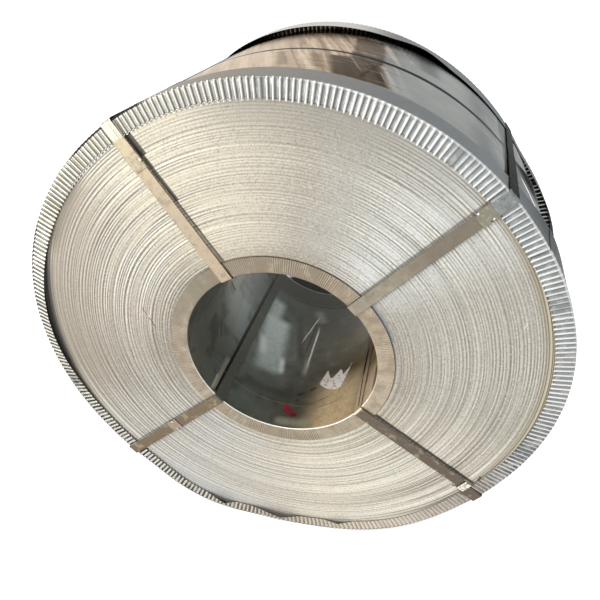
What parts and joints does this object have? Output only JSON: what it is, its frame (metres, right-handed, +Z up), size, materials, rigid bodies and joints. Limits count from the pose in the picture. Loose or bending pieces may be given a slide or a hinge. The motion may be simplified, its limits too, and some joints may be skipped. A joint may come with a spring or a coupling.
{
  "type": "packaged steel coil",
  "caption": "Wound coil of cold-rolled steel strip lying on its side, wrapped in sheet, with pleated edge rings, a lined bore and steel straps through the bore.",
  "frame": {"origin": "middle of the floor patch under the coil, at the bottom centre of its box", "axes": "+Z up, +Y along the coil's level axis from its front end to its rear end, +X across to the right as the front end is seen"},
  "size_m": [1.4326, 0.7454, 1.3817],
  "materials": {
    "strip_steel": "slit edges of cold-rolled strip, wound tight, with fine concentric lines",
    "wrap_steel": "smooth oiled sheet, glossy, light rub marks",
    "liner_steel": "dark oiled sheet, glossy",
    "outer_ring_steel": "bright galvanised sheet, pleated",
    "inner_ring_steel": "dull galvanised sheet, finely crimped, oil stained",
    "strap_steel": "waxed steel strapping, matt brown grey",
    "seal_steel": "crimped steel seal, scuffed"
  },
  "bodies": {
    "root": {"coil": "strip_steel", "outer_wrap_front": "wrap_steel", "outer_wrap_rear": "wrap_steel", "bore_liner": "liner_steel", "inner_ring_front": "inner_ring_steel", "inner_ring_rear": "inner_ring_steel", "outer_ring_front": "outer_ring_steel", "outer_ring_rear": "outer_ring_steel", "strap_1": "strap_steel", "strap_2": "strap_steel", "strap_3": "strap_steel", "strap_4": "strap_steel", "seal_1": "seal_steel", "seal_2": "seal_steel", "seal_3": "seal_steel", "seal_4": "seal_steel"}
  },
  "joints": []
}
